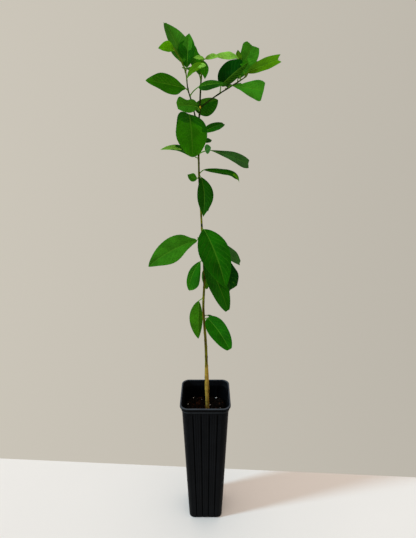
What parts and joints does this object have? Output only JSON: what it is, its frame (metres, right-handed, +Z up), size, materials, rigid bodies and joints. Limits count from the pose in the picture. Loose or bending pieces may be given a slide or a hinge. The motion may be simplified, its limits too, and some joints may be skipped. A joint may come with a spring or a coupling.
{
  "type": "potted citrus sapling",
  "caption": "Young citrus tree with a slender forked stem and broad green leaves, standing in a tall square black nursery pot filled with growing mix.",
  "frame": {"origin": "centre of the pot's flat underside", "axes": "+Z up along the plant, +X to the right and +Y to the back, square to the pot's sides"},
  "size_m": [0.2191, 0.1587, 0.9854],
  "materials": {
    "pot_plastic": "satin",
    "growing_mix": "matte",
    "bark": "matte",
    "leaf": "satin"
  },
  "bodies": {
    "root": {"bough_left": "bark", "bough_right": "bark", "crown_left": "leaf", "crown_right": "leaf", "crown_top": "leaf", "leader": "bark", "leaf_fork_front": "leaf", "leaf_fork_left": "leaf", "leaf_fork_right": "leaf", "leaf_high_back": "leaf", "leaf_high_bud": "leaf", "leaf_high_front": "leaf", "leaf_high_right": "leaf", "leaf_low_back": "leaf", "leaf_low_left": "leaf", "leaf_low_right": "leaf", "leaf_mid_back": "leaf", "leaf_mid_behind": "leaf", "leaf_mid_front": "leaf", "leaf_mid_grey": "leaf", "leaf_mid_left": "leaf", "leaf_mid_shade": "leaf", "leaf_mid_strip": "leaf", "leaf_mid_under": "leaf", "leaf_top_back": "leaf", "leaf_top_dark": "leaf", "leaf_top_left": "leaf", "leaf_top_right": "leaf", "leaf_top_small": "leaf", "pot": "pot_plastic", "root_ball": "growing_mix", "trunk": "bark"}
  },
  "joints": []
}
